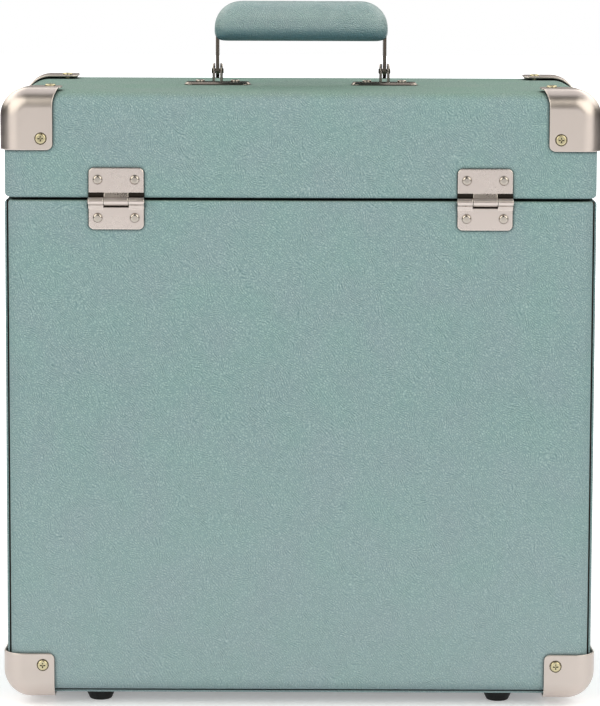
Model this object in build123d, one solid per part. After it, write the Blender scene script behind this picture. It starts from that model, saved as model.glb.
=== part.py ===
from build123d import *
import os

# ---------------------------------------------------------------- driving dimensions (mm)
WIDTH = 363.0            # case body across the sides
DEPTH = 190.0            # case body, front face to back face
FOOT_H = 8.0             # rubber feet hold the body this far off the ground
SEAM_Z = 317.5           # middle of the gap between base and lid
SEAM_GAP = 1.4
TOP_Z = 382.5            # top of the lid

CORNER_R = 15.0          # rounding of the four long corners that run front to back
BASE_EDGE_R = 8.0        # rounding of the base's front and back edges
LID_EDGE_R = 9.6         # rounding of the lid's front and back edges
RIM_R = 2.5              # rounding of the covered rims at the seam

BASE_BOARD = 9.0
LID_BOARD = 8.4
COVER = 1.2              # leathercloth with its padding
HEM_STEP = 2.2           # the base band stands this far proud of the front and back covers
BAND_IN = 7.8            # the band stops this far in from the front and back faces
LINER = 2.0
LIP_H = 4.5              # the liner walls stand this far above the base rim

CAP_SHEET = 1.1
CAP_PROUD = 2.9          # how far a corner cap stands off the body at its corner
CAP_SIDE_TILT = 0.042    # the side flange closes down onto the body along Y
CAP_TOP_TILT = 0.010     # the top or bottom flange stands nearly level, clear of the body
CAP_FACE_TILT = 0.026    # the front or back flange closes down along X and Z
CAP_SCREW_R = 3.25
CAP_SCREW_SINK = 0.5     # each screw head sits in a dimple this deep
CAP_EDGE_R = 0.45        # the sheet's outer edge is rounded
CAP_LONG_R = 17.5
CAP_FACE_R = 12.0
LID_CAP_LEGS = (34.0, 34.0, 35.2)
BASE_CAP_LEGS = (29.6, 31.0, 26.4)
CAP_SCREW_IN = 7.2       # screws sit this far in from the flange edges
CAP_BACK_LEG = 30.2      # the lid caps are narrower on the front and back faces
CAP_FLARE_R = 19.0       # and sweep out to the width of the top flange on this radius
CAP_FLARE_Z = 8.0        # from this far below the top

HINGE_X = 112.6
HINGE_W = 34.0
HINGE_DROP = 1.1         # the hinge axis lies this far below the middle of the seam
HINGE_UP = 20.4          # the lid leaf reaches this far above the axis
HINGE_DOWN = 17.6        # the base leaf reaches this far below the axis
HINGE_SHEET = 1.2
HINGE_OUT = 2.9          # hinge axis stands this far behind the back face
BARREL_R = 2.5
HINGE_PIN_R = 1.2
HINGE_CLEAR = 1.8        # the leaf plates stop this far from the axis
HINGE_COINED = 0.5       # and are pressed this thin beside the other leaf's knuckles
SLOT_UP = 5.2            # the lid leaf is thinned this far above the axis
SLOT_DOWN = 3.9          # the base leaf is thinned this far below the axis
KNUCKLE = 9.2
RIVET_X = 11.3
RIVET_UP = 12.0
RIVET_DOWN = 11.4
RIVET_HEAD_R = 2.95
RIVET_HEAD_H = 1.6

LATCH_X = 112.6
LATCH_PIN_Z = 336.0
LATCH_PIN_R = 1.3
LATCH_BARREL_R = 2.5
LATCH_OUT = 2.7          # hasp axis stands this far in front of the front face
HASP_W = 16.0
HASP_LOW_Z = 292.0
STUD_Z = 303.0

HANDLE_X = 53.3          # middle of each handle leg
PIVOT_Z = TOP_Z + 8.8
STRAP_T = 2.2
STRAP_W = 9.6
GRIP_HALF = 55.5
GRIP_D = 28.0
GRIP_LOW_Z = 410.6
GRIP_TOP_Z = 436.4
GRIP_COVER = 1.1
BRACKET_L = 42.0
BRACKET_W = 16.0
BRACKET_T = 1.8
EAR_T = 1.7
EAR_GAP = 0.5
HANDLE_PIN_R = 1.6

FOOT_X = 124.8
FOOT_Y = 71.0
FOOT_TOP_R = 10.4
FOOT_LOW_R = 6.8

HALF_W = WIDTH / 2
HALF_D = DEPTH / 2
BASE_RIM = SEAM_Z - SEAM_GAP / 2
LID_RIM = SEAM_Z + SEAM_GAP / 2
SIDES = (("left", -1), ("right", 1))

os.makedirs("parts", exist_ok=True)


# ---------------------------------------------------------------- small helpers
def block(x0, x1, y0, y1, z0, z1):
    """A plain box between two corners."""
    return Pos((x0 + x1) / 2, (y0 + y1) / 2, (z0 + z1) / 2) * Box(x1 - x0, y1 - y0, z1 - z0)


def prism_y(points, y0, y1):
    """A polygon drawn in X and Z, run from y0 to y1."""
    face = make_face(Polyline(*[(x, 0, z) for x, z in points], close=True))
    return Pos(0, y0, 0) * extrude(face, amount=y1 - y0, dir=(0, 1, 0))


def prism_x(points, x0, x1):
    """A polygon drawn in Y and Z, run from x0 to x1."""
    face = make_face(Polyline(*[(0, y, z) for y, z in points], close=True))
    return Pos(x0, 0, 0) * extrude(face, amount=x1 - x0, dir=(1, 0, 0))


def rod(radius, start, end):
    """A round bar between two points that differ along one axis only."""
    a, b = Vector(*start), Vector(*end)
    plane = Plane(origin=a, z_dir=(b - a).normalized())
    return extrude(plane * Circle(radius), amount=(b - a).length)


def near(edge, axis, value):
    """True when an edge lies flat at one coordinate."""
    box = edge.bounding_box()
    low, high = getattr(box.min, axis), getattr(box.max, axis)
    return abs(low - value) < 1e-3 and abs(high - value) < 1e-3


def tray(half_w, half_d, z_closed, z_rim, corner_r, edge_r, rim_r=0.0):
    """The outside of an open half of the case: closed at z_closed, open at z_rim."""
    low, high = min(z_closed, z_rim), max(z_closed, z_rim)
    body = block(-half_w, half_w, -half_d, half_d, low, high)
    long_edges = [e for e in body.edges().filter_by(Axis.Y) if abs(e.center().Z - z_closed) < 0.01]
    body = fillet(long_edges, corner_r)
    if edge_r:
        face_edges = [
            e
            for e in body.edges()
            if (near(e, "Y", half_d) or near(e, "Y", -half_d)) and not near(e, "Z", z_rim)
        ]
        body = fillet(face_edges, edge_r)
    if rim_r:
        rim = [e for e in body.edges() if near(e, "Z", z_rim)]
        body = fillet(rim, rim_r)
    return body


def save(name, shape):
    """Write one named piece or group of like pieces."""
    if isinstance(shape, (list, tuple)):
        shape = Compound(children=list(shape))
    export_step(shape, f"parts/{name}.step")


# ---------------------------------------------------------------- fasteners
def pan_screw(head_r, head_h, shank_r, length):
    """A pan head screw with a cross recess; seat at the origin, shank along -Z."""
    head = Pos(0, 0, head_h / 2) * Cylinder(head_r, head_h)
    head = fillet(head.edges().group_by(Axis.Z)[-1], head_h * 0.55)
    slot = head_r * 1.05
    wide = head_r * 0.24
    cross = block(-slot / 2, slot / 2, -wide / 2, wide / 2, head_h * 0.45, head_h + 1)
    cross += block(-wide / 2, wide / 2, -slot / 2, slot / 2, head_h * 0.45, head_h + 1)
    shank = Pos(0, 0, -length / 2) * Cylinder(shank_r, length)
    tip = [e for e in shank.edges() if near(e, "Z", -length)]
    return (head - cross) + chamfer(tip, shank_r * 0.5)


def dome_rivet(length):
    """A domed rivet; seat at the origin, shank along -Z."""
    head = Pos(0, 0, RIVET_HEAD_H / 2) * Cylinder(RIVET_HEAD_R, RIVET_HEAD_H)
    head = fillet(head.edges().group_by(Axis.Z)[-1], RIVET_HEAD_H * 0.92)
    return head + Pos(0, 0, -length / 2) * Cylinder(1.3, length)


def place(shape, at, outward):
    """Stand a fastener on a surface point with its head facing outward."""
    return Plane(origin=Vector(*at), z_dir=Vector(*outward)) * shape


# ---------------------------------------------------------------- corner caps
def tilted_corner(inset, long_r, face_r):
    """The filled corner of a cap: three planes that close onto the body, corner at the origin."""
    size = 120.0
    proud = CAP_PROUD - inset
    body = block(-size, 10, -size, 10, -size, 10)
    side, top, face = -CAP_SIDE_TILT, -CAP_TOP_TILT, -CAP_FACE_TILT
    for point, normal in (
        ((proud, 0, 0), (1, side, 0)),
        ((0, proud, 0), (face, 1, face)),
        ((0, 0, proud), (0, top, 1)),
    ):
        plane = Plane(origin=Vector(*point), z_dir=Vector(*normal))
        body = split(body, bisect_by=plane, keep=Keep.BOTTOM)
    corner = Vector(*tuple(body.vertices().sort_by_distance((proud, proud, proud))[0]))
    edges = [
        e
        for e in body.edges()
        if min((Vector(*tuple(v)) - corner).length for v in e.vertices()) < 0.01
    ]
    along_y = [e for e in edges if abs(e.tangent_at(0.5).Y) > 0.9]
    body = fillet(along_y, long_r)
    ring = [
        e
        for e in body.edges()
        if abs(e.center().Y - proud) < 1.5 and e.length > 3 and abs(e.tangent_at(0.5).Y) < 0.2
    ]
    return fillet(ring, face_r)


def corner_cap(legs, narrow):
    """One pressed cap for the corner at +X +Y +Z of a body whose corner is the origin."""
    outer = tilted_corner(0.0, CAP_LONG_R, CAP_FACE_R)
    inner = tilted_corner(CAP_SHEET, CAP_LONG_R - CAP_SHEET, CAP_FACE_R - CAP_SHEET)
    lx, ly, lz = legs
    reach = block(-lx, 9, -ly, 9, -lz, 9)
    lower = fillet([e for e in reach.edges().filter_by(Axis.Y) if near(e, "X", -lx) and near(e, "Z", -lz)], 4.0)
    side = block(-lx, 9, -ly, 9, -lz, 9)
    side = fillet([e for e in side.edges().filter_by(Axis.X) if near(e, "Y", -ly) and near(e, "Z", -lz)], 4.0)
    flat = block(-lx, 9, -ly, 9, -lz, 9)
    flat = fillet([e for e in flat.edges().filter_by(Axis.Z) if near(e, "X", -lx) and near(e, "Y", -ly)], 4.0)
    cap = (outer - inner) & lower & side & flat
    if narrow:
        sweep = CAP_FLARE_R
        x, z = -CAP_BACK_LEG - sweep, -CAP_FLARE_Z
        cap -= rod(sweep, (x, -13.0, z), (x, 12.0, z))
        cap -= block(x, -CAP_BACK_LEG, -13.0, 12.0, -60.0, z)
        r = 4.0
        x, z = r - CAP_BACK_LEG, r - lz
        cap -= block(x - r, x, -13.0, 12.0, z - r, z) - rod(r, (x, -14.0, z), (x, 13.0, z))
    skin = outer.shell()
    walls = [f for f in cap.faces() if min(s.distance_to(f.center()) for s in (inner, skin)) > 0.2]
    rim = [e for f in walls for e in f.edges() if skin.distance_to(e @ 0.5) < 0.01]
    return fillet(rim, CAP_EDGE_R)


def cap_screw_seats(legs, narrow):
    """Where the three screws of a cap sit, and which way they face."""
    lx, ly, lz = legs
    edge = CAP_SCREW_IN
    back_x = edge - (CAP_BACK_LEG if narrow else lx)
    seat = CAP_PROUD - CAP_SCREW_SINK
    face = seat + CAP_FACE_TILT * (back_x + edge - lz)
    side = seat + CAP_SIDE_TILT * (edge - ly)
    top = seat + CAP_TOP_TILT * (edge - ly)
    return [
        ((back_x, face, edge - lz), (0, 1, 0)),
        ((side, edge - ly, edge - lz), (1, 0, 0)),
        ((edge - lx, edge - ly, top), (0, 0, 1)),
    ]


# ---------------------------------------------------------------- base
def base_boards():
    """Five boards: the sides and bottom mitred together, front and back glued over their ends."""
    wx = HALF_W - COVER
    wz = FOOT_H + COVER
    top = BASE_RIM - COVER
    cx = wx - BASE_BOARD
    cz = wz + BASE_BOARD
    cy = HALF_D - COVER - BASE_BOARD
    loop = tray(wx, cy, wz, top, CORNER_R - COVER, 0)
    loop -= block(-cx, cx, -200, 200, cz, 400)
    run = 30.0
    side = [(cx, cz), (cx, top + 1), (cx + run, top + 1), (cx + run, cz - run)]
    boards = {"base_right_board": loop & prism_y(side, -200, 200)}
    boards["base_left_board"] = loop & prism_y([(-x, z) for x, z in side], -200, 200)
    low = [(cx, cz), (-cx, cz), (-cx - run, cz - run), (cx + run, cz - run)]
    boards["base_bottom_board"] = loop & prism_y(low, -200, 200)
    end = tray(
        HALF_W - HEM_STEP - COVER,
        HALF_D - COVER,
        FOOT_H + HEM_STEP + COVER,
        top,
        CORNER_R - HEM_STEP - COVER,
        BASE_EDGE_R - COVER,
    )
    boards["base_back_board"] = end & block(-200, 200, cy, 200, 0, 400)
    boards["base_front_board"] = end & block(-200, 200, -200, -cy, 0, 400)
    return boards


def base_covers():
    """The band over the sides and bottom, and a shaped cover over the front and the back."""
    wx = HALF_W - COVER
    wz = FOOT_H + COVER
    top = BASE_RIM - COVER
    cx = wx - BASE_BOARD
    cy = HALF_D - COVER - BASE_BOARD
    band = tray(HALF_W, HALF_D - BAND_IN, FOOT_H, BASE_RIM, CORNER_R, 0)
    rim = [
        e
        for e in band.edges()
        if near(e, "Z", BASE_RIM) and (near(e, "X", HALF_W) or near(e, "X", -HALF_W))
    ]
    band = fillet(rim, RIM_R)
    band -= tray(wx, 200, wz, top, CORNER_R - COVER, 0)
    band -= block(-cx, cx, -200, 200, 100, 400)
    for s in (-1, 1):
        ends = sorted((s * cy, s * 200))
        band -= tray(wx, 200, wz, 400, CORNER_R - COVER, 0) & block(-300, 300, *ends, 0, 500)
    shell = tray(
        HALF_W - HEM_STEP,
        HALF_D,
        FOOT_H + HEM_STEP,
        BASE_RIM,
        CORNER_R - HEM_STEP,
        BASE_EDGE_R,
        RIM_R,
    )
    core = tray(
        HALF_W - HEM_STEP - COVER,
        HALF_D - COVER,
        FOOT_H + HEM_STEP + COVER,
        top,
        CORNER_R - HEM_STEP - COVER,
        BASE_EDGE_R - COVER,
    )
    skin = shell - core
    back = skin & block(-200, 200, cy, 200, 0, 400)
    front = skin & block(-200, 200, -200, -cy, 0, 400)
    return {"base_band_cover": band, "base_back_cover": back, "base_front_cover": front}


def base_liner():
    """Board liner: a floor pad and four walls that stand above the rim to locate the lid."""
    cx = HALF_W - COVER - BASE_BOARD
    cy = HALF_D - COVER - BASE_BOARD
    z0 = FOOT_H + COVER + BASE_BOARD
    top = BASE_RIM + LIP_H
    floor = block(-cx, cx, -cy, cy, z0, z0 + LINER)
    sides = [block(s * cx - (LINER if s > 0 else 0), s * cx + (0 if s > 0 else LINER), -cy, cy, z0 + LINER, top)
             for s in (-1, 1)]
    ex = cx - LINER
    ends = [block(-ex, ex, s * cy - (LINER if s > 0 else 0), s * cy + (0 if s > 0 else LINER), z0 + LINER, top)
            for s in (-1, 1)]
    return {"base_liner_floor": floor, "base_liner_sides": sides, "base_liner_ends": ends}


def foot():
    """One tapered rubber foot with a counterbore for its screw, top face at FOOT_H."""
    body = Pos(0, 0, FOOT_H / 2) * Cone(FOOT_LOW_R, FOOT_TOP_R, FOOT_H)
    body = fillet(body.edges().group_by(Axis.Z)[0], 1.3)
    return body - Pos(0, 0, 1.6) * Cylinder(3.0, 3.2)


# ---------------------------------------------------------------- lid
def lid_boards():
    """Five boards: the sides and top mitred together, front and back glued over their ends."""
    wx = HALF_W - COVER
    wz = TOP_Z - COVER
    rim = LID_RIM + COVER
    cx = wx - LID_BOARD
    cz = wz - LID_BOARD
    cy = HALF_D - COVER - LID_BOARD
    loop = tray(wx, cy, wz, rim, CORNER_R - COVER, 0) - block(-cx, cx, -200, 200, 300, cz)
    run = 30.0
    side = [(cx, cz), (cx, rim - 1), (cx + run, rim - 1), (cx + run, cz + run)]
    boards = {"lid_right_board": loop & prism_y(side, -200, 200)}
    boards["lid_left_board"] = loop & prism_y([(-x, z) for x, z in side], -200, 200)
    high = [(cx, cz), (-cx, cz), (-cx - run, cz + run), (cx + run, cz + run)]
    boards["lid_top_board"] = loop & prism_y(high, -200, 200)
    end = tray(wx, HALF_D - COVER, wz, rim, CORNER_R - COVER, LID_EDGE_R - COVER)
    boards["lid_back_board"] = end & block(-200, 200, cy, 200, 0, 500)
    boards["lid_front_board"] = end & block(-200, 200, -200, -cy, 0, 500)
    return boards


def lid_cover():
    """One leathercloth skin over the whole lid, turned in under the rim."""
    cx = HALF_W - COVER - LID_BOARD
    cy = HALF_D - COVER - LID_BOARD
    skin = tray(HALF_W, HALF_D, TOP_Z, LID_RIM, CORNER_R, LID_EDGE_R, RIM_R)
    skin -= tray(HALF_W - COVER, HALF_D - COVER, TOP_Z - COVER, LID_RIM + COVER,
                 CORNER_R - COVER, LID_EDGE_R - COVER)
    return skin - block(-cx, cx, -cy, cy, 300, 340)


def lid_liner():
    """Board liner of the lid; its walls stop short of the rim to clear the base liner."""
    cx = HALF_W - COVER - LID_BOARD
    cy = HALF_D - COVER - LID_BOARD
    z1 = TOP_Z - COVER - LID_BOARD
    low = BASE_RIM + LIP_H + 4.0
    t = LINER
    sheet = block(-cx, cx, -cy, cy, z1 - t, z1)
    sides = [block(-cx, -cx + t, -cy, cy, low, z1 - t), block(cx - t, cx, -cy, cy, low, z1 - t)]
    ex = cx - t
    ends = [block(-ex, ex, -cy, -cy + t, low, z1 - t), block(-ex, ex, cy - t, cy, low, z1 - t)]
    return {"lid_liner_top": sheet, "lid_liner_sides": sides, "lid_liner_ends": ends}


# ---------------------------------------------------------------- hinges
def hinge_leaf(upper):
    """One leaf of a butt hinge about the origin, plate on the body face, barrel axis along X."""
    face = -HINGE_OUT
    s = 1 if upper else -1
    half = HINGE_W / 2
    reach = HINGE_UP if upper else HINGE_DOWN
    z0, z1 = sorted((0.0, s * reach))
    plate = block(-half, half, face, face + HINGE_SHEET, z0, z1)
    ends = [e for e in plate.edges().filter_by(Axis.Y) if near(e, "Z", s * reach)]
    plate = fillet(ends, 3.4)
    outline = [e for e in plate.edges() if near(e, "Y", face + HINGE_SHEET) and not near(e, "Z", 0)]
    plate = chamfer(outline, 0.45)
    inner = half - KNUCKLE
    mid = (-inner + 0.4, inner - 0.4)
    outer = ((-half, -inner), (inner, half))
    mine, other = ([mid], outer) if upper else (outer, [mid])
    leaf = plate
    for a, b in other:
        leaf -= block(a - 0.4, b + 0.4, face + HINGE_COINED, face + 3, -SLOT_DOWN, SLOT_UP)
        leaf -= block(a - 0.4, b + 0.4, face - 1, face + 3, -HINGE_CLEAR, HINGE_CLEAR)
    for a, b in mine:
        leaf -= block(a, b, face - 1, face + 3, *sorted((0.0, s * HINGE_CLEAR)))
        leaf += rod(BARREL_R, (a, 0, 0), (b, 0, 0))
        neck = [(face, s * 5.0), (face + HINGE_SHEET, s * 5.0), (-0.2, s * BARREL_R), (-BARREL_R * 0.9, s * 0.9)]
        leaf += prism_x(neck, a, b)
    bore = HINGE_PIN_R + (0.05 if upper else 0.0)
    return leaf - rod(bore, (-half - 1, 0, 0), (half + 1, 0, 0))


def hinge_parts():
    """Leaves, pins and the rivets of both hinges."""
    y = HALF_D + HINGE_OUT
    parts = {}
    base_rivets, lid_rivets = [], []
    for name, s in SIDES:
        at = Pos(s * HINGE_X, y, SEAM_Z - HINGE_DROP)
        parts[f"{name}_hinge_base_leaf"] = at * hinge_leaf(False)
        parts[f"{name}_hinge_lid_leaf"] = at * hinge_leaf(True)
        half = HINGE_W / 2
        pin = rod(HINGE_PIN_R, (-half - 0.4, 0, 0), (half + 0.4, 0, 0))
        parts[f"{name}_hinge_pin"] = at * pin
        for dx in (-RIVET_X, RIVET_X):
            x = s * HINGE_X + dx
            seat = HALF_D + HINGE_SHEET
            lid_rivets.append(place(dome_rivet(9.5), (x, seat, SEAM_Z + RIVET_UP), (0, 1, 0)))
            base_rivets.append(place(dome_rivet(9.5), (x, seat, SEAM_Z - RIVET_DOWN), (0, 1, 0)))
    return parts, base_rivets, lid_rivets


# ---------------------------------------------------------------- latches
def latch_hanger():
    """Lid plate that carries the hasp, drawn about the hasp axis with -Y outward."""
    face = LATCH_OUT
    plate = block(-15, 15, face - 1.2, face, -6.5, 13.0)
    plate = fillet([e for e in plate.edges().filter_by(Axis.Y)], 3.0)
    plate = chamfer([e for e in plate.edges() if near(e, "Y", face - 1.2)], 0.4)
    cut = HASP_W / 2 + 0.4
    clear = LATCH_BARREL_R + 0.5
    plate -= block(-cut, cut, face - 3, face + 0.5, -clear, clear)
    for s in (-1, 1):
        a, b = sorted((s * cut, s * (cut + 4.0)))
        plate += rod(LATCH_BARREL_R, (a, 0, 0), (b, 0, 0))
    return plate - rod(LATCH_PIN_R, (-20, 0, 0), (20, 0, 0))


def latch_hasp():
    """Swinging hasp with a window for the stud and a curled finger lip."""
    half = HASP_W / 2
    inner = LATCH_OUT - 1.2 - 0.5
    outer = inner - 1.4
    low = HASP_LOW_Z - LATCH_PIN_Z
    stud = STUD_Z - LATCH_PIN_Z
    plate = block(-half, half, outer, inner, low, 0)
    plate -= block(-half - 1, half + 1, inner - 0.001, inner + 2, low - 1, 1)
    window = block(-5.4, 5.4, outer - 1, inner + 1, stud - 4.2, stud + 4.2)
    window = fillet(window.edges().filter_by(Axis.Y), 1.2)
    lip = prism_x([(inner, low + 4), (inner - 3.0, low), (inner - 4.2, low), (inner - 4.2, low + 1.2),
                   (outer, low + 5)], -half, half)
    plate = plate & block(-half, half, -10, 10, low + 3.6, 1)
    plate = fillet([e for e in (plate + lip).edges().filter_by(Axis.Z) if e.length > 15], 0.35)
    barrel = rod(LATCH_BARREL_R, (-half, 0, 0), (half, 0, 0))
    return (plate + barrel) - window - rod(LATCH_PIN_R + 0.05, (-20, 0, 0), (20, 0, 0))


def latch_keeper():
    """Base plate under the hasp."""
    plate = block(-15, 15, -HALF_D - 1.2, -HALF_D, STUD_Z - 12.5, STUD_Z + 12.0)
    plate = fillet(plate.edges().filter_by(Axis.Y), 3.0)
    return chamfer([e for e in plate.edges() if near(e, "Y", -HALF_D - 1.2)], 0.4)


def latch_stud():
    """Snap stud through the keeper, ramped both ways; its nose passes through the hasp window."""
    y0 = -HALF_D - 1.2
    outline = [(y0, -2.8), (y0 - 1.3, -2.8), (y0 - 4.7, -0.9)]
    outline += [(y, -z) for y, z in reversed(outline)]
    nose = prism_x([(y, STUD_Z + z) for y, z in outline], -4.0, 4.0)
    return nose + rod(1.6, (0, y0, STUD_Z), (0, y0 + 9.5, STUD_Z))


def latch_parts():
    """Plates, hasps, pins, studs and rivets of both latches."""
    parts = {}
    lid_rivets, base_rivets = [], []
    for name, s in SIDES:
        x = s * LATCH_X
        at = Pos(x, -HALF_D - LATCH_OUT, LATCH_PIN_Z)
        parts[f"{name}_latch_hanger"] = at * latch_hanger()
        parts[f"{name}_latch_hasp"] = at * latch_hasp()
        parts[f"{name}_latch_pin"] = at * rod(LATCH_PIN_R, (-13.0, 0, 0), (13.0, 0, 0))
        parts[f"{name}_latch_keeper"] = Pos(x, 0, 0) * latch_keeper()
        parts[f"{name}_latch_stud"] = Pos(x, 0, 0) * latch_stud()
        seat = -HALF_D - 1.2
        for dx in (-11.2, 11.2):
            lid_rivets.append(place(dome_rivet(9.5), (x + dx, seat, LATCH_PIN_Z + 9.0), (0, -1, 0)))
            base_rivets.append(place(dome_rivet(9.5), (x + dx, seat, STUD_Z), (0, -1, 0)))
    return parts, base_rivets, lid_rivets


# ---------------------------------------------------------------- handle
def handle_bracket():
    """Clevis bracket: a flat base plate with two ears; pivot above the origin on the lid top."""
    half = BRACKET_L / 2
    plate = block(-half, half, -BRACKET_W / 2, BRACKET_W / 2, 0, BRACKET_T)
    plate = fillet(plate.edges().filter_by(Axis.Z), 5.0)
    plate = chamfer(plate.edges().group_by(Axis.Z)[-1], 1.2)
    rise = PIVOT_Z - TOP_Z
    inside = STRAP_T / 2 + EAR_GAP
    reach = inside + EAR_T
    bracket = plate
    for s in (-1, 1):
        x0, x1 = sorted((s * inside, s * (inside + EAR_T)))
        ear = block(x0, x1, -5.0, 5.0, BRACKET_T - 0.01, rise)
        ear += rod(5.0, (x0, 0, rise), (x1, 0, rise))
        outside = [e for e in ear.edges().filter_by(GeomType.CIRCLE) if abs(abs(e.center().X) - reach) < 0.01]
        bracket += chamfer(outside, 0.7)
    bracket -= rod(HANDLE_PIN_R, (-reach - 1, 0, rise), (reach + 1, 0, rise))
    return bracket


def handle_strap():
    """U-shaped steel strap: two pierced legs joined by a bar inside the grip."""
    x0 = HANDLE_X - STRAP_T / 2
    x1 = HANDLE_X + STRAP_T / 2
    bar_z = GRIP_LOW_Z + 10.0
    strap = block(-x1, x1, -STRAP_W / 2, STRAP_W / 2, bar_z, bar_z + STRAP_T)
    for s in (-1, 1):
        a, b = sorted((s * x0, s * x1))
        strap += block(a, b, -STRAP_W / 2, STRAP_W / 2, PIVOT_Z, bar_z + STRAP_T)
        strap += rod(STRAP_W / 2, (a, 0, PIVOT_Z), (b, 0, PIVOT_Z))
        strap -= rod(HANDLE_PIN_R + 0.06, (a - 1, 0, PIVOT_Z), (b + 1, 0, PIVOT_Z))
    return strap


def grip_form(inset):
    """The loaf-shaped grip, made where three rounded outlines meet."""
    half = GRIP_HALF - inset
    deep = GRIP_D / 2 - inset
    low = GRIP_LOW_Z + inset
    high = GRIP_TOP_Z - inset
    long_view = block(-half, half, -deep, deep, low, high)
    tops = [e for e in long_view.edges().filter_by(Axis.Y) if near(e, "Z", high)]
    long_view = fillet(tops, 16.5 - inset)
    lows = [e for e in long_view.edges().filter_by(Axis.Y) if near(e, "Z", low)]
    long_view = fillet(lows, 5.2 - inset)
    end_view = block(-half, half, -deep, deep, low, high)
    tops = [e for e in end_view.edges().filter_by(Axis.X) if near(e, "Z", high)]
    end_view = fillet(tops, 12.4 - inset)
    lows = [e for e in end_view.edges().filter_by(Axis.X) if near(e, "Z", low)]
    end_view = fillet(lows, 9.5 - inset)
    plan_view = block(-half, half, -deep, deep, low, high)
    plan_view = fillet(plan_view.edges().filter_by(Axis.Z), 9.0 - inset)
    return long_view & end_view & plan_view


# ---------------------------------------------------------------- assembly
def build():
    parts = {}
    base = {**base_boards(), **base_covers()}
    lid = {**lid_boards(), "lid_cover": lid_cover()}
    parts.update(base_liner())
    parts.update(lid_liner())

    hinge, base_rivets, lid_rivets = hinge_parts()
    latch, keeper_rivets, hanger_rivets = latch_parts()

    base_bodies = [base[n] for n in ("base_band_cover", "base_back_cover", "base_front_cover")]
    lid_cap = corner_cap(LID_CAP_LEGS, True)
    base_cap = mirror(corner_cap(BASE_CAP_LEGS, False), about=Plane.XY)
    lid_seats = cap_screw_seats(LID_CAP_LEGS, True)
    base_seats = cap_screw_seats(BASE_CAP_LEGS, False)
    screw = pan_screw(CAP_SCREW_R, 1.7, 1.2, 8.0)
    dimple = Pos(0, 0, 2.0) * Cylinder(CAP_SCREW_R + 0.4, 4.0)
    base_screws, lid_screws = [], []
    for sx_name, sx in SIDES:
        for sy_name, sy in (("front", -1), ("back", 1)):
            for half, cap, z, sz, seats, bag in (
                ("lid", lid_cap, TOP_Z, 1, lid_seats, lid_screws),
                ("base", base_cap, FOOT_H, -1, base_seats, base_screws),
            ):
                piece = cap
                if sx < 0:
                    piece = mirror(piece, about=Plane.YZ)
                if sy < 0:
                    piece = mirror(piece, about=Plane.XZ)
                at = (sx * HALF_W, sy * HALF_D, z)
                here, holes = [], []
                for p, n in seats:
                    point = (at[0] + sx * p[0], at[1] + sy * p[1], at[2] + sz * p[2])
                    facing = (sx * n[0], sy * n[1], sz * n[2])
                    here.append(place(screw, point, facing))
                    holes.append(place(dimple, point, facing))
                piece = Pos(*at) * piece
                if half == "base":
                    piece -= tray(HALF_W, HALF_D, FOOT_H, BASE_RIM, CORNER_R, BASE_EDGE_R)
                else:
                    piece -= tray(HALF_W, HALF_D, TOP_Z, LID_RIM, CORNER_R, LID_EDGE_R)
                for one in here + holes:
                    piece -= one
                parts[f"{half}_cap_{sy_name}_{sx_name}"] = max(piece.solids(), key=lambda q: q.volume)
                bag += here

    foot_screw = pan_screw(2.7, 1.4, 1.2, 12.0)
    feet, foot_screws = [], []
    for sx in (-1, 1):
        for sy in (-1, 1):
            at = Pos(sx * FOOT_X, sy * FOOT_Y, 0)
            driven = Pos(sx * FOOT_X, sy * FOOT_Y, 3.2) * Rot(180, 0, 0) * foot_screw
            foot_screws.append(driven)
            feet.append(at * foot() - driven)

    x = HANDLE_X
    bracket_screw = pan_screw(2.9, 1.4, 1.2, 7.5)
    bracket_screws = []
    strap = handle_strap()
    for name, s in SIDES:
        bracket = Pos(s * x, 0, TOP_Z) * handle_bracket()
        for dx in (-11.2, 11.2):
            one = Pos(s * x + dx, 0, TOP_Z + BRACKET_T) * bracket_screw
            bracket_screws.append(one)
            bracket -= one
        parts[f"{name}_handle_bracket"] = bracket
        reach = STRAP_T / 2 + EAR_GAP + EAR_T + 0.6
        parts[f"{name}_handle_pin"] = rod(HANDLE_PIN_R, (s * x - reach, 0, PIVOT_Z), (s * x + reach, 0, PIVOT_Z))
    inner = grip_form(GRIP_COVER)
    parts["handle_strap"] = strap
    parts["handle_core"] = inner - strap
    parts["handle_grip_cover"] = grip_form(0.0) - inner - strap

    for name, piece in {**hinge, **latch}.items():
        rivets = base_rivets + lid_rivets + keeper_rivets + hanger_rivets
        if "leaf" in name or "hanger" in name or "keeper" in name:
            for one in rivets:
                if abs(one.center().X - piece.center().X) < 20:
                    piece = piece - one
        if "keeper" in name:
            piece = piece - latch[name.replace("keeper", "stud")]
        parts[name] = piece

    studs = [latch["left_latch_stud"], latch["right_latch_stud"]]
    for group, fixings in (
        (base, base_screws + foot_screws + base_rivets + keeper_rivets + studs),
        (lid, lid_screws + lid_rivets + hanger_rivets + bracket_screws),
    ):
        for name, piece in group.items():
            box = piece.bounding_box()
            for one in fixings:
                b = one.bounding_box()
                apart = (
                    b.min.X > box.max.X or b.max.X < box.min.X
                    or b.min.Y > box.max.Y or b.max.Y < box.min.Y
                    or b.min.Z > box.max.Z or b.max.Z < box.min.Z
                )
                if not apart:
                    piece = piece - one
            parts[name] = piece

    parts["base_cap_screws"] = base_screws
    parts["lid_cap_screws"] = lid_screws
    parts["base_hinge_rivets"] = base_rivets
    parts["lid_hinge_rivets"] = lid_rivets
    parts["base_latch_rivets"] = keeper_rivets
    parts["lid_latch_rivets"] = hanger_rivets
    parts["feet"] = feet
    parts["foot_screws"] = foot_screws
    parts["handle_bracket_screws"] = bracket_screws
    return parts


for node, shape in build().items():
    save(node, shape)
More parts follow.
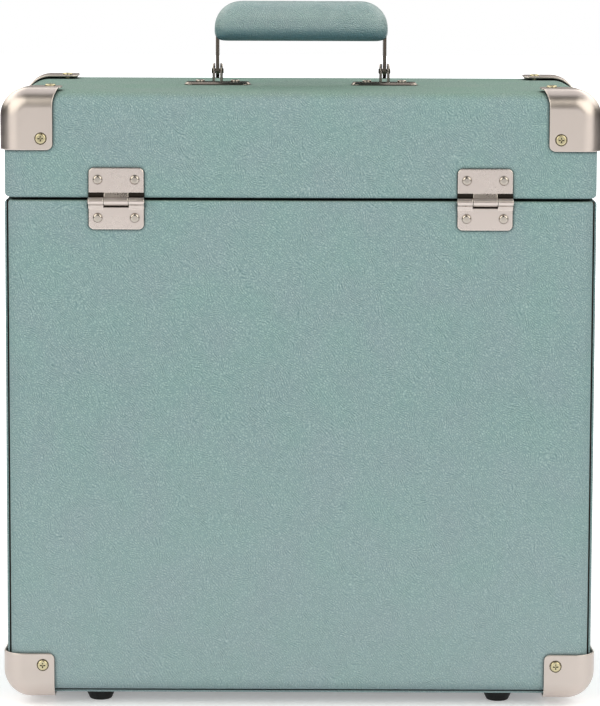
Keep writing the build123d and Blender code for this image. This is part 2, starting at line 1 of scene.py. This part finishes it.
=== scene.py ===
# %% [markdown]
# # A leathercloth record case
# This notebook dresses a record carrying case: a plywood box with a hinged lid, wrapped in
# pebble-grained leathercloth, with pressed nickel corner caps, butt hinges, snap hasps and a
# swinging handle. The solid parts arrive with their true shapes and places. What is added here
# is the look: the surface of every material, the studio, the light and the camera.

# %% Load the parts
import math

import bmesh
import bpy
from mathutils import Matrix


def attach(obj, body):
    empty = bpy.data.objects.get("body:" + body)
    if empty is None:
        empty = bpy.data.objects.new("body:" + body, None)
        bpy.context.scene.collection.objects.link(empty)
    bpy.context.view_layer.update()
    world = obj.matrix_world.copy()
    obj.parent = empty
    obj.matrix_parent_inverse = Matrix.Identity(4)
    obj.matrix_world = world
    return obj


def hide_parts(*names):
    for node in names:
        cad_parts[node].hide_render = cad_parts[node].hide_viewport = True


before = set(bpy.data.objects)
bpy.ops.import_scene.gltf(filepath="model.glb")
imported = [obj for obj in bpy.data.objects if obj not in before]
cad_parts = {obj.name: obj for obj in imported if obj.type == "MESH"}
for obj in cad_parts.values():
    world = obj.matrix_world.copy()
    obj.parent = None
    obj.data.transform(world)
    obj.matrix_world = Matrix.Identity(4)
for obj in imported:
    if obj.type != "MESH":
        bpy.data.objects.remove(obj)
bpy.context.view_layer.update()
MM = 0.001


# %% [markdown]
# ## Colours and nodes
# Colours are written as the hex values that a picker shows. Cycles works in linear light, so one
# function turns them. A second small function adds a shader node, with its settings, its values
# and its links, so that each material below reads as a short list of nodes.

# %% Helpers for colours and nodes
def srgb(hex_text):
    """A hex colour as linear RGBA."""
    values = [int(hex_text[i:i + 2], 16) / 255 for i in (0, 2, 4)]
    linear = [v / 12.92 if v <= 0.04045 else ((v + 0.055) / 1.055) ** 2.4 for v in values]
    return (*linear, 1.0)


def add_node(tree, kind, inputs=None, **settings):
    """Add one shader node; a socket given as an input becomes a link. Returns its first output."""
    node = tree.nodes.new("ShaderNode" + kind)
    for name, value in settings.items():
        setattr(node, name, value)
    for name, value in (inputs or {}).items():
        if isinstance(value, bpy.types.NodeSocket):
            tree.links.new(value, node.inputs[name])
        else:
            node.inputs[name].default_value = value
    return node.outputs[0] if node.outputs else node


def new_material(name, **values):
    """A material with a principled shader, and the values that are the same all over it."""
    material = bpy.data.materials.new(name)
    material.use_nodes = True
    tree = material.node_tree
    tree.nodes.clear()
    shader = add_node(tree, "BsdfPrincipled").node
    add_node(tree, "OutputMaterial", {"Surface": shader.outputs["BSDF"]})
    for socket, value in values.items():
        shader.inputs[socket.replace("_", " ")].default_value = value
    return material, tree, shader


print("white is", srgb("FFFFFF"))


# %% [markdown]
# ## Leathercloth
# Leathercloth is soft PVC on woven cotton, embossed with a pebble grain by a warm roller. Each
# pebble is a small dome with a fine valley round it, and the stretched skin between them is
# creased in short parallel folds. Voronoi cells give the pebbles: the distance to a cell's edge,
# eased, is the height of the dome. Gabor noise gives the folds, nearly as far apart as the
# pebbles. They lean one way, and slow noise turns them to follow the way the skin was pulled.
# Noise bends the cells first, so that no row lines up. Pigment settles in the valleys and
# creases, which are darker. The real pebbles are about a millimetre wide, and here they are drawn
# a little coarser, so that they show.
#
# Painted shade darkens the cloth where it meets metal or turns under, which ambient occlusion finds.
# The face that lies on top is painted darker and yellower, as the light falls there; the side of the
# grip that faces down is painted in shade; and the foot of the case is painted lighter and bluer, as
# light from the floor falls there. PVC has an IOR of about 1.53. The grain shades itself at a low
# angle, so the case's specular level is turned down, or the lid's top would glare like glass. The grip
# is polished by hands, so its level is turned up.

# %% Leathercloth
SHADE_MM = 2.2       # cloth this near to metal or to a fold is shaded
CLOUD_M = 1 / 30     # size of the slow changes of hue
UNDERSIDE_SHADE, FLOOR_LIGHT_TINT = srgb("225A70"), srgb("A6B6BC")
BLUISH, GREENISH, TOP_LIGHT_TINT = (1, 0.97, 1, 1), (0.955, 1, 0.985, 1), (0.85, 0.87, 0.75, 1)
FLOOR_LIGHT_TOP, FLOOR_LIGHT_LOW, FLOOR_LIGHT_MOST = 0.20, 0.02, 0.30


def leathercloth(name, face_hex, valley_hex, grain_mm, depth_mm, rough, gloss, under_shade=0.0, painted_light=0.0):
    """Embossed cloth; painted shade darkens the side that faces down, and painted light darkens and yellows
    the top and lightens and blues the foot.
    """
    material, tree, shader = new_material(name, IOR=1.53, Specular_IOR_Level=gloss)
    grain = grain_mm * MM
    place = add_node(tree, "TexCoord").node.outputs["Object"]

    drift = add_node(tree, "TexNoise", {"Vector": place, "Scale": 0.5 / grain, "Detail": 0.0})
    drift = drift.node.outputs["Color"]
    drift = add_node(tree, "VectorMath", {0: drift, 1: (grain * 0.9,) * 3}, operation="MULTIPLY")
    bent = add_node(tree, "VectorMath", {0: place, 1: drift}, operation="ADD")
    edge = add_node(tree, "TexVoronoi", {"Vector": bent, "Scale": 1 / grain}, feature="DISTANCE_TO_EDGE")
    dome = add_node(tree, "MapRange", {"Value": edge, "From Max": 0.36}, interpolation_type="SMOOTHSTEP")

    pull = add_node(tree, "TexNoise", {"Vector": place, "Scale": 0.15 / grain, "Detail": 0.0})
    pull = pull.node.outputs["Color"]
    pull = add_node(tree, "VectorMath", {0: pull, 1: (0.25, 0.40, 0.75)}, operation="SUBTRACT")
    crease = add_node(tree, "TexGabor", {"Vector": place, "Scale": 0.5 / grain, "Frequency": 2.5,
                                         "Orientation 3D": pull}, gabor_type="3D")
    crease = add_node(tree, "MapRange", {"Value": crease, "From Min": 0.24, "From Max": 0.76})
    pebble = add_node(tree, "MixRGB", {"Fac": 0.55, "Color1": dome, "Color2": crease})
    swell = add_node(tree, "TexNoise", {"Vector": place, "Scale": 0.15 / grain, "Detail": 1.0})
    height = add_node(tree, "Math", {0: swell, 1: 1.2, 2: pebble}, operation="MULTIPLY_ADD")
    bump = add_node(tree, "Bump", {"Height": height, "Distance": depth_mm * MM})

    tone = add_node(tree, "MixRGB", {"Fac": pebble, "Color1": srgb(valley_hex), "Color2": srgb(face_hex)})
    cloud = add_node(tree, "TexNoise", {"Vector": place, "Scale": 1 / CLOUD_M, "Detail": 1.0})
    cloud = add_node(tree, "MapRange", {"Value": cloud, "From Min": 0.3, "From Max": 0.7})
    tint = add_node(tree, "MixRGB", {"Fac": cloud, "Color1": BLUISH, "Color2": GREENISH})
    # Painted shade: where ambient occlusion finds metal or a fold near, the cloth's colour is darkened.
    shade = add_node(tree, "AmbientOcclusion", {"Distance": SHADE_MM * MM}, samples=6)
    shade = shade.node.outputs["AO"]
    shade = add_node(tree, "MapRange", {"Value": shade, "From Min": 0.52, "From Max": 0.96, "To Min": 0.12})
    colour = add_node(tree, "MixRGB", {"Fac": 1.0, "Color1": tone, "Color2": tint}, blend_type="MULTIPLY")
    colour = add_node(tree, "MixRGB", {"Fac": 1.0, "Color1": colour, "Color2": shade}, blend_type="MULTIPLY")

    facing = add_node(tree, "TexCoord").node.outputs["Normal"]
    facing = add_node(tree, "SeparateXYZ", {"Vector": facing}).node.outputs["Z"]
    # Painted shade: the side that faces down takes a dark blue colour.
    under = add_node(tree, "MapRange", {"Value": facing, "From Min": 0.20, "From Max": -0.65, "To Max": under_shade})
    colour = add_node(tree, "MixRGB", {"Fac": under, "Color1": colour, "Color2": UNDERSIDE_SHADE})
    # Painted light: the face that lies on top is made darker and yellower.
    top_light = add_node(tree, "MapRange", {"Value": facing, "From Min": 0.6, "From Max": 0.98, "To Max": painted_light})
    colour = add_node(tree, "MixRGB", {"Fac": top_light, "Color1": colour, "Color2": TOP_LIGHT_TINT},
                      blend_type="MULTIPLY")
    # Painted light: near the floor the colour is made lighter and bluer.
    rise = add_node(tree, "SeparateXYZ", {"Vector": place}).node.outputs["Z"]
    floor_light = add_node(tree, "MapRange", {"Value": rise, "From Min": FLOOR_LIGHT_TOP, "From Max": FLOOR_LIGHT_LOW,
                                       "To Max": FLOOR_LIGHT_MOST * painted_light})
    colour = add_node(tree, "MixRGB", {"Fac": floor_light, "Color1": colour, "Color2": FLOOR_LIGHT_TINT})

    worn = add_node(tree, "MapRange", {"Value": pebble, "To Min": rough + 0.15, "To Max": rough})
    worn = add_node(tree, "Math", {0: cloud, 1: 0.06, 2: worn}, operation="MULTIPLY_ADD")
    tree.links.new(colour, shader.inputs["Base Color"])
    tree.links.new(worn, shader.inputs["Roughness"])
    tree.links.new(bump, shader.inputs["Normal"])
    return material


CASE_GRAIN_MM = 1.45
HANDLE_GRAIN_MM = 1.25
case_cloth = leathercloth(
    "case_leathercloth", "A8BEBF", "6A888C", CASE_GRAIN_MM, 0.34, 0.58, 0.14, painted_light=1.0)
handle_cloth = leathercloth(
    "handle_leathercloth", "92AEB0", "58797F", HANDLE_GRAIN_MM, 0.40, 0.26, 1.60, under_shade=0.75)
print("grain of", CASE_GRAIN_MM, "mm on the case and", HANDLE_GRAIN_MM, "mm on the handle")


# %% [markdown]
# ## Plated metal
# Caps, hinges and latches are pressed from thin steel sheet and plated with nickel, a warm grey
# metal. Satin plate blurs what it mirrors, bright plate on the rivets doesn't. Three things make
# pressed sheet believable. Handling leaves soft smears that change the blur from place to place.
# Every edge is slightly round and rubbed, so it catches a line of light: the bevel node rounds the
# shading there, and where its normal leaves the flat one the metal is smoother and its colour is
# made lighter, a painted highlight. Recesses and the gap under an edge, which ambient occlusion
# finds, are painted darker: painted shade.

# %% Plated metals
METAL_SHADE_MM = 1.4        # painted shade reaches this near to a corner
SMEAR_M = 1 / 55     # size of the smears that hands leave


def plated_metal(name, plate_hex, edge_highlight_hex, shade_hex, rough, edge_mm, grit_mm, relief_mm,
                 foot_mm=None, open_sky=0.75):
    """
    Plated sheet. foot_mm is how far from the middle of the case the foot of a plate is painted in full
    shade, so that a recess sunk below it looks dark, and open_sky is how open a place must be to
    escape the painted shade.
    """
    material, tree, shader = new_material(name, Metallic=1.0)
    place = add_node(tree, "TexCoord").node.outputs["Object"]
    flat = add_node(tree, "NewGeometry").node.outputs["Normal"]
    edge = add_node(tree, "Bevel", {"Radius": edge_mm * MM}, samples=6)
    lean = add_node(tree, "VectorMath", {0: edge, 1: flat}, operation="DOT_PRODUCT").node.outputs["Value"]
    rubbed_and_highlit = add_node(tree, "MapRange", {"Value": lean, "From Min": 0.995, "From Max": 0.86})
    smear = add_node(tree, "TexNoise", {"Vector": place, "Scale": 1 / SMEAR_M, "Detail": 4.0})
    grit = add_node(tree, "TexNoise", {"Vector": place, "Scale": 1 / (grit_mm * MM), "Detail": 3.0})
    haze = add_node(tree, "Math", {0: grit, 1: 0.5, 2: smear}, operation="MULTIPLY_ADD")
    haze = add_node(tree, "MapRange", {"Value": haze, "From Min": 0.45, "From Max": 1.05,
                                       "To Min": rough - 0.05, "To Max": rough + 0.07})
    haze = add_node(tree, "Math", {0: rubbed_and_highlit, 1: -0.10, 2: haze}, operation="MULTIPLY_ADD")
    bump = add_node(tree, "Bump", {"Height": grit, "Distance": relief_mm * MM, "Strength": 0.5,
                                   "Normal": edge})
    # Painted shade: corners and the gap under an edge, found by ambient occlusion, take the dark colour.
    shade = add_node(tree, "AmbientOcclusion", {"Distance": METAL_SHADE_MM * MM}, samples=6).node.outputs["AO"]
    unshaded = add_node(tree, "MapRange", {"Value": shade, "From Min": 0.30, "From Max": open_sky})
    # Painted shade: below the foot depth the plate takes the dark colour all over, so a sunk recess looks
    # dark.
    if foot_mm:
        depth = add_node(tree, "SeparateXYZ", {"Vector": place}).node.outputs["Y"]
        depth = add_node(tree, "Math", {0: depth}, operation="ABSOLUTE")
        above = add_node(tree, "MapRange", {"Value": depth, "From Min": foot_mm * MM,
                                            "From Max": (foot_mm + 0.3) * MM})
        unshaded = add_node(tree, "Math", {0: unshaded, 1: above}, operation="MULTIPLY")
    # Painted highlight: the rounded, rubbed edges are given a lighter colour; their lower roughness is the
    # wear.
    colour = add_node(tree, "MixRGB", {"Fac": rubbed_and_highlit, "Color1": srgb(plate_hex), "Color2": srgb(edge_highlight_hex)})
    colour = add_node(tree, "MixRGB", {"Fac": unshaded, "Color1": srgb(shade_hex), "Color2": colour})
    tree.links.new(colour, shader.inputs["Base Color"])
    tree.links.new(haze, shader.inputs["Roughness"])
    tree.links.new(bump, shader.inputs["Normal"])
    return material


satin_nickel = plated_metal(
    "satin_nickel_plate", "C8BDB7", "EDE6DD", "3A342E", 0.34, 0.70, 0.5, 0.008)
# The hinge leaves are painted in full shade below the foot depth, so their sunk notches look dark.
hinge_nickel = plated_metal(
    "hinge_nickel_plate", "CFC4BF", "F4ECE4", "2A2622", 0.28, 0.55, 0.5, 0.008, foot_mm=95.6)
# On the rivets and screws the painted shade reaches further out from their foot.
bright_nickel = plated_metal(
    "bright_nickel_plate", "B4ACA4", "E8E0D6", "24201C", 0.08, 0.15, 0.6, 0.002, open_sky=0.96)
bracket_nickel = plated_metal(
    "bracket_nickel_plate", "8A8078", "F2ECE4", "1E1B18", 0.18, 0.30, 0.5, 0.010)
strap_steel = plated_metal(
    "black_nickel_strap", "625A52", "E0DAD2", "1E1B18", 0.20, 0.20, 0.5, 0.020)
steel_wire = plated_metal(
    "drawn_steel_wire", "B5B0A9", "D6D2CC", "3A3733", 0.24, 0.15, 0.4, 0.006)
pale_brass = plated_metal(
    "brass_plated_screw", "C4BA98", "E8DFC0", "2A2618", 0.26, 0.15, 0.5, 0.004)
zinc_plate = plated_metal(
    "zinc_plated_screw", "B9BABA", "D8D8D8", "3F4040", 0.33, 0.15, 0.5, 0.008)
print("caps are", satin_nickel.name, "and rivets are", bright_nickel.name)


# %% [markdown]
# ## Rubber, plywood and flock
# The feet are moulded black rubber: nearly matt, with a faint orange-peel from the mould. The box
# under the cloth is birch plywood, whose plies show only at its cut edges. The lining is black
# flock on card: short upright fibres that drink the light and go pale where they are brushed.

# %% Rubber, wood and flock
def rubber(name, hex_text):
    material, tree, shader = new_material(name, Base_Color=srgb(hex_text), IOR=1.52, Specular_IOR_Level=0.3)
    place = add_node(tree, "TexCoord").node.outputs["Object"]
    peel = add_node(tree, "TexNoise", {"Vector": place, "Scale": 1 / (0.7 * MM), "Detail": 3.0})
    bump = add_node(tree, "Bump", {"Height": peel, "Distance": 0.05 * MM, "Strength": 0.6})
    rough = add_node(tree, "MapRange", {"Value": peel, "To Min": 0.45, "To Max": 0.7})
    tree.links.new(rough, shader.inputs["Roughness"])
    tree.links.new(bump, shader.inputs["Normal"])
    return material


def plywood(name, light_hex, dark_hex, ply_mm):
    material, tree, shader = new_material(name, Roughness=0.6)
    place = add_node(tree, "TexCoord").node.outputs["Object"]
    along = add_node(tree, "Mapping", {"Vector": place, "Scale": (1.0, 1.0, 0.08)})
    grain = add_node(tree, "TexNoise", {"Vector": along, "Scale": 1 / (ply_mm * MM), "Detail": 5.0})
    band = add_node(tree, "MapRange", {"Value": grain, "From Min": 0.35, "From Max": 0.65})
    colour = add_node(tree, "MixRGB", {"Fac": band, "Color1": srgb(dark_hex), "Color2": srgb(light_hex)})
    # Painted shade: the wood is darkened in grooves and corners, which ambient occlusion finds.
    shade = add_node(tree, "AmbientOcclusion", {"Distance": 3.0 * MM}, samples=6).node.outputs["AO"]
    shade = add_node(tree, "MapRange", {"Value": shade, "From Min": 0.4, "From Max": 0.9, "To Min": 0.06})
    colour = add_node(tree, "MixRGB", {"Fac": 1.0, "Color1": colour, "Color2": shade}, blend_type="MULTIPLY")
    bump = add_node(tree, "Bump", {"Height": grain, "Distance": 0.06 * MM, "Strength": 0.5})
    tree.links.new(colour, shader.inputs["Base Color"])
    tree.links.new(bump, shader.inputs["Normal"])
    return material


def flock(name, root_hex, tip_hex, fibre_mm):
    material, tree, shader = new_material(name, Roughness=0.95, Sheen_Weight=0.35, Sheen_Roughness=0.4)
    place = add_node(tree, "TexCoord").node.outputs["Object"]
    fibre = add_node(tree, "TexNoise", {"Vector": place, "Scale": 1 / (fibre_mm * MM), "Detail": 4.0})
    brushed = add_node(tree, "TexNoise", {"Vector": place, "Scale": 22.0, "Detail": 2.0})
    both = add_node(tree, "Math", {0: fibre, 1: brushed}, operation="ADD")
    lie = add_node(tree, "MapRange", {"Value": both, "From Min": 0.75, "From Max": 1.25})
    colour = add_node(tree, "MixRGB", {"Fac": lie, "Color1": srgb(root_hex), "Color2": srgb(tip_hex)})
    bump = add_node(tree, "Bump", {"Height": fibre, "Distance": 0.15 * MM, "Strength": 0.7})
    tree.links.new(colour, shader.inputs["Base Color"])
    tree.links.new(bump, shader.inputs["Normal"])
    return material


foot_rubber = rubber("moulded_rubber", "0C0D0E")
birch = plywood("birch_plywood", "C9A77C", "B08C5F", 1.4)
lining = flock("black_flock", "1A1A1C", "303033", 0.4)
print("soft and wooden finishes ready")


# %% [markdown]
# ## Dressing the parts
# Every part has a name that says what it is, so a short list of words picks its finish. The first
# word that fits wins, and whatever fits none is satin nickel.

# %% Hand each part its finish
FINISHES = [
    ("handle_grip_cover", handle_cloth),
    ("handle_core", birch),
    ("handle_strap", strap_steel),
    ("bracket_screws", bright_nickel),
    ("handle_bracket", bracket_nickel),
    ("cap_screws", pale_brass),
    ("foot_screws", zinc_plate),
    ("screws", bright_nickel),
    ("rivets", bright_nickel),
    ("_pin", steel_wire),
    ("leaf", hinge_nickel),
    ("_cover", case_cloth),
    ("_board", birch),
    ("liner", lining),
    ("feet", foot_rubber),
    ("", satin_nickel),
]

for name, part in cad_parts.items():
    finish = next(m for word, m in FINISHES if word in name)
    part.data.materials.clear()
    part.data.materials.append(finish)
print(len(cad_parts), "parts dressed")


# %% [markdown]
# ## The grip
# The grip is a loaf of wood with leathercloth drawn tight round it and closed by a seam along its
# underside. Stretched cloth has no creases at the corners, so the surface is made as one smooth
# skin. At each place along the grip the cross-section is a rounded rectangle. Towards the ends its
# top sinks, its underside rises and its sides draw in, each along its own arc. A fine box of points
# is pulled in along rays from the middle of the grip until each lies on that skin.

# %% Pull a box of points onto the loaf
GRIP = {"half": 0.0552, "deep": 0.0140, "low": 0.4106, "high": 0.4359}
SPINE = 0.040        # the rays start on a line this long to each side of the middle
END_TOP_R, END_LOW_R, END_SIDE_R = 0.0170, 0.0055, 0.0100
TOP_EDGE_R, LOW_EDGE_R = 0.0126, 0.0098
GRID_CUTS = 31       # each edge of the box is cut this often
HALVINGS = 22        # the search along a ray is halved this often, to well under a micron
SEAM_DEEP = 0.0006   # the closing seam is drawn in this far


def sink(x, radius):
    """How far an arc of this radius, at the end of the grip, has fallen away at x."""
    into = max(abs(x) - GRIP["half"] + radius, 0)
    return radius - math.sqrt(max(radius * radius - into * into, 0))


def outside_grip(x, y, z):
    """True where a point lies outside the loaf."""
    deep = GRIP["deep"] - sink(x, END_SIDE_R)
    high = GRIP["high"] - sink(x, END_TOP_R)
    low = GRIP["low"] + sink(x, END_LOW_R)
    shrunk = deep / GRIP["deep"]
    for radius, rise in ((TOP_EDGE_R * shrunk, z - high), (LOW_EDGE_R * shrunk, low - z)):
        across, along = abs(y) - deep + radius, rise + radius
        if across > 0 and along > 0 and math.hypot(across, along) > radius:
            return True
    return abs(x) > GRIP["half"] or abs(y) > deep or z > high or z < low


loaf = bmesh.new()
bmesh.ops.create_cube(loaf, size=2)
bmesh.ops.subdivide_edges(loaf, edges=loaf.edges[:], cuts=GRID_CUTS, use_grid_fill=True)
middle = (GRIP["low"] + GRIP["high"]) / 2
tall = (GRIP["high"] - GRIP["low"]) / 2
for vert in loaf.verts:
    cx, cy, cz = vert.co
    start = (cx * SPINE, 0, middle)
    ray = (cx * (GRIP["half"] - SPINE), cy * GRIP["deep"], cz * tall)
    near, far = 0.0, 1.0
    for _ in range(HALVINGS):
        t = (near + far) / 2
        if outside_grip(*(s + t * r for s, r in zip(start, ray))):
            far = t
        else:
            near = t
    vert.co = [s + near * r for s, r in zip(start, ray)]
    if abs(cy) < 0.01 and cz < -0.99:
        vert.co.z += SEAM_DEEP
for face in loaf.faces:
    face.smooth = True
grip_mesh = bpy.data.meshes.new("grip_skin")
loaf.to_mesh(grip_mesh)
loaf.free()
grip_mesh.materials.append(handle_cloth)
grip = bpy.data.objects.new("grip_skin", grip_mesh)
bpy.context.scene.collection.objects.link(grip)
grip.modifiers.new("finer", "SUBSURF").render_levels = 1
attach(grip, "handle")
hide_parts("handle_grip_cover", "handle_core")
print("grip skin has", len(grip_mesh.polygons), "faces")


# %% [markdown]
# ## Floor and air
# A plain pale floor carries the case and keeps its shadow, and white air stands behind it. The
# floor gets a little glow of its own where the camera or a mirror sees it, and more of it far out
# where the lamps don't reach, so that it is as white as the air and no horizon shows. The air
# lights the case a little less than it shows, so that the lid's top stays below its sides.

# %% Floor and white air
def stage_mesh(name, verts, faces, material):
    """A studio piece made of flat faces, which isn't part of the case."""
    mesh = bpy.data.meshes.new(name)
    mesh.from_pydata(verts, [], faces)
    mesh.materials.append(material)
    piece = bpy.data.objects.new(name, mesh)
    bpy.context.scene.collection.objects.link(piece)
    return piece


def background_ray(tree):
    """1 for a ray from the camera, a mirror or glass, and 0 for one that lights something."""
    ray = add_node(tree, "LightPath").node
    seen = add_node(tree, "Math", {0: ray.outputs["Is Camera Ray"], 1: ray.outputs["Is Glossy Ray"]},
                    operation="MAXIMUM")
    seen = add_node(tree, "Math", {0: seen, 1: ray.outputs["Is Transmission Ray"]}, operation="MAXIMUM")
    return seen, ray


FLOOR_HALF = 9.0
NEAR_GLOW, FAR_GLOW = 0.30, 0.8
FADE_START, FADE_END = 0.8, 2.6      # the far glow comes in between these distances
AIR_LIGHT = 0.7                      # how much the air lights things, where 1 is how it looks
floor_paint, tree, shader = new_material("floor_paint", Base_Color=srgb("F2F3F8"), Roughness=0.9,
                                         Specular_IOR_Level=0.1, Emission_Color=srgb("FFFFFF"))
seen, ray = background_ray(tree)
place = add_node(tree, "TexCoord").node.outputs["Object"]
away = add_node(tree, "VectorMath", {0: place}, operation="LENGTH").node.outputs["Value"]
far = add_node(tree, "MapRange", {"Value": away, "From Min": FADE_START, "From Max": FADE_END,
                                  "To Max": FAR_GLOW})
far = add_node(tree, "Math", {0: far, 1: ray.outputs["Is Camera Ray"]}, operation="MULTIPLY")
glow = add_node(tree, "Math", {0: seen, 1: NEAR_GLOW, 2: far}, operation="MULTIPLY_ADD")
tree.links.new(glow, shader.inputs["Emission Strength"])
corners = [(x * FLOOR_HALF, y * FLOOR_HALF, 0) for x, y in ((-1, -1), (1, -1), (1, 1), (-1, 1))]
stage_mesh("studio_floor", corners, [(0, 1, 2, 3)], floor_paint)

world = bpy.data.worlds.new("studio_air")
bpy.context.scene.world = world
world.use_nodes = True
tree = world.node_tree
tree.nodes.clear()
seen, ray = background_ray(tree)
strength = add_node(tree, "MapRange", {"Value": seen, "To Min": AIR_LIGHT, "To Max": 1.0})
air = add_node(tree, "Background", {"Color": srgb("FFFFFF"), "Strength": strength})
add_node(tree, "OutputWorld", {"Surface": air})
print("floor", 2 * FLOOR_HALF, "m wide")


# %% [markdown]
# ## Dark cards
# Metal shows whatever stands round it. In all-white air it would look like chalk, so a
# photographer stands dark cards out of the picture. Here a low curtain goes all round, a little
# above the floor, and on the hinge side it goes on up and over like half a tent. Flat metal still
# mirrors the pale floor, a plate that faces up mirrors the curtain, and a rounded edge turns light
# where it mirrors the open air and dark where it mirrors the tent. Two low cards beside the case
# darken the ends. The camera doesn't see the cards.

# %% Curtain, half tent and side cards
CARD_RING = 4.6
CURTAIN_LOW, CURTAIN_HIGH, TENT_TOP = 0.45, 2.6, 4.2
TENT_EDGE = 0.5      # the tent's roof ends this far to the hinge side of the case's middle
CARD_STEPS = 48
black_felt = new_material("black_felt", Base_Color=srgb("2A2A2A"), Roughness=1.0, Specular_IOR_Level=0.0)[0]


def bent_card(name, first, last, low, high):
    """A card bent round the case, between two steps of the ring and two heights."""
    turns = [2 * math.pi * step / CARD_STEPS for step in range(first, last + 1)]
    rim = [(CARD_RING * math.cos(t), CARD_RING * math.sin(t)) for t in turns]
    verts = [(x, y, low) for x, y in rim] + [(x, y, high) for x, y in rim]
    count = len(rim)
    faces = [(i, i + 1, count + i + 1, count + i) for i in range(count - 1)]
    return stage_mesh(name, verts, faces, black_felt)


cards = [
    bent_card("dark_curtain", 0, CARD_STEPS, CURTAIN_LOW, CURTAIN_HIGH),
    bent_card("dark_tent_wall", 1, CARD_STEPS // 2 - 1, CURTAIN_HIGH, TENT_TOP),
]
turns = [2 * math.pi * step / CARD_STEPS for step in range(1, CARD_STEPS // 2)]
roof = [(CARD_RING * math.cos(t), max(CARD_RING * math.sin(t), TENT_EDGE), TENT_TOP) for t in turns]
cards.append(stage_mesh("dark_tent_roof", roof, [tuple(range(len(roof)))], black_felt))
SIDE_X, SIDE_FRONT, SIDE_BACK = 1.7, -2.6, 0.8
SIDE_LOW, SIDE_TOP = 0.02, 0.9
for name, x in (("left_low_card", -SIDE_X), ("right_low_card", SIDE_X)):
    corners = [(x, SIDE_FRONT, SIDE_LOW), (x, SIDE_BACK, SIDE_LOW),
               (x, SIDE_BACK, SIDE_TOP), (x, SIDE_FRONT, SIDE_TOP)]
    cards.append(stage_mesh(name, corners, [(0, 1, 2, 3)], black_felt))
for card in cards:
    card.visible_camera = False
print(len(cards), "dark cards, the ring", 2 * CARD_RING, "m wide, side cards", SIDE_X, "m out")


# %% [markdown]
# ## Lamps
# Two large soft boxes stand high to the left and right of whoever looks at the back of the case,
# and a pair of weaker ones does the same for the front. Nothing hangs straight above. Rounded
# metal then shows two bright windows with a dark gap between them, which is what makes a rivet
# look polished, and the flat panels are lit evenly from both sides. Their light is a little warm.

# %% Soft boxes
def area_lamp(name, place, aim, size, power, light_hex):
    """A rectangular soft box that faces a point."""
    data = bpy.data.lights.new(name, "AREA")
    data.shape = "RECTANGLE"
    data.size, data.size_y = size
    data.energy = power
    data.color = srgb(light_hex)[:3]
    lamp = bpy.data.objects.new(name, data)
    lamp.location = place
    away = [p - a for p, a in zip(place, aim)]
    length = math.sqrt(sum(d * d for d in away))
    lamp.rotation_euler = (math.acos(away[2] / length), 0, math.atan2(away[1], away[0]) + math.pi / 2)
    bpy.context.scene.collection.objects.link(lamp)
    return lamp


MIDDLE = (0, 0, 0.2)
REACH, ELEVATION = 3.4, 30
BOX_SIZE, BOX_COLOUR = (3.8, 3.0), "FFFDF2"
for name, azimuth, power in (
    ("back_left_box", 42, 84),
    ("back_right_box", 138, 84),
    ("front_left_box", -138, 52),
    ("front_right_box", -42, 52),
):
    turn, lift = math.radians(azimuth), math.radians(ELEVATION)
    out = REACH * math.cos(lift)
    spot = (out * math.cos(turn), out * math.sin(turn), MIDDLE[2] + REACH * math.sin(lift))
    area_lamp(name, spot, MIDDLE, BOX_SIZE, power, BOX_COLOUR)
    print(name, [round(v, 2) for v in spot], "m,", power, "W")


# %% [markdown]
# ## Camera
# The camera looks at the hinge side from a little above the lid, far enough away that the sides
# of the case stay almost upright. The picture is shifted up instead of tilting the camera more.

# %% Camera
LOOKS_DOWN, ROLL = 6.265, -0.191     # degrees
camera_data = bpy.data.cameras.new("camera")
camera_data.lens = 151.0
camera_data.shift_y = -0.1491
camera = bpy.data.objects.new("camera", camera_data)
camera.location = (0.0010, 1.895, 0.4856)
camera.rotation_euler = (math.radians(90 - LOOKS_DOWN), math.radians(ROLL), math.radians(180))
bpy.context.scene.collection.objects.link(camera)
bpy.context.scene.camera = camera
bpy.context.scene.view_settings.view_transform = "Standard"
print("camera looks at the back of the case from", round(camera.location.y, 2), "m")
